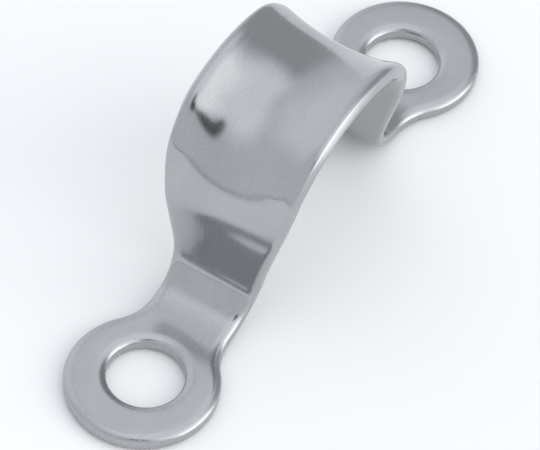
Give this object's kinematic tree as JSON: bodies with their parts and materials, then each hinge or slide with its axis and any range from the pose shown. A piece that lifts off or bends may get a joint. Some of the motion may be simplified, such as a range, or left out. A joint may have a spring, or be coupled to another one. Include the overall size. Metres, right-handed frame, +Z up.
{
  "type": "rope bridge strap",
  "caption": "Formed stainless strap with a screw eye at each end and a crown, flared along its long edges, that a rope passes under.",
  "frame": {"origin": "on the mounting plane, midway between the axes of the two screw holes", "axes": "+X along the strap from eye to eye, +Y along the rope that passes under the crown, +Z up from the mounting plane through the crown"},
  "size_m": [0.051, 0.012, 0.018],
  "materials": {
    "polished_stainless": "satin-polished stainless steel"
  },
  "bodies": {
    "root": {"bridge_strap": "polished_stainless"}
  },
  "joints": []
}
